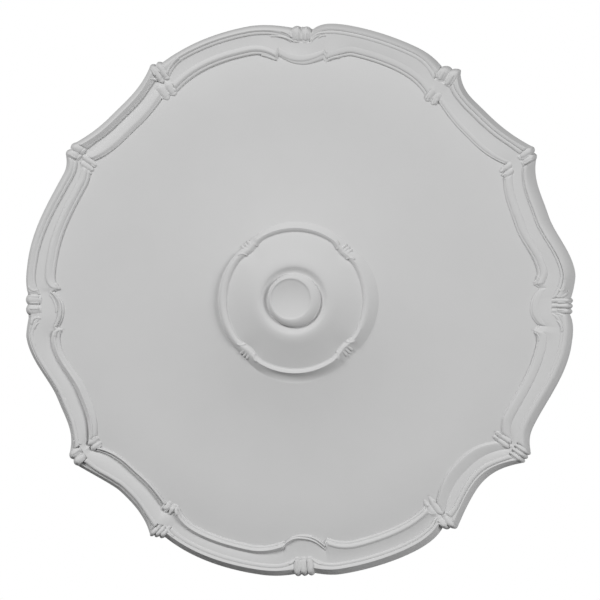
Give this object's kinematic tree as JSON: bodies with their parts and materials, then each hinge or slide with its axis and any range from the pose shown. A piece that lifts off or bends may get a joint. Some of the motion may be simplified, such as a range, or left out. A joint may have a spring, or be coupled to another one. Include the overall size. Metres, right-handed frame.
{
  "type": "ceiling rose",
  "caption": "Round moulded ceiling rose with a scalloped ribbed border tied by knots, a plain dished field and a quatrefoil ring round a domed middle with a small turned button.",
  "frame": {"origin": "middle of the flat back, which goes against the ceiling", "axes": "+Y out of the flat back towards the ceiling it is fixed to, -Y out of the ornamented face, +Z towards the knot at the top of the picture, +X to the right seen from the front"},
  "size_m": [0.4813, 0.0395, 0.4811],
  "materials": {
    "primed_white": "matt white factory primer on a rigid foam moulding, unpainted"
  },
  "bodies": {
    "root": {"ceiling_rose": "primed_white"}
  },
  "joints": []
}
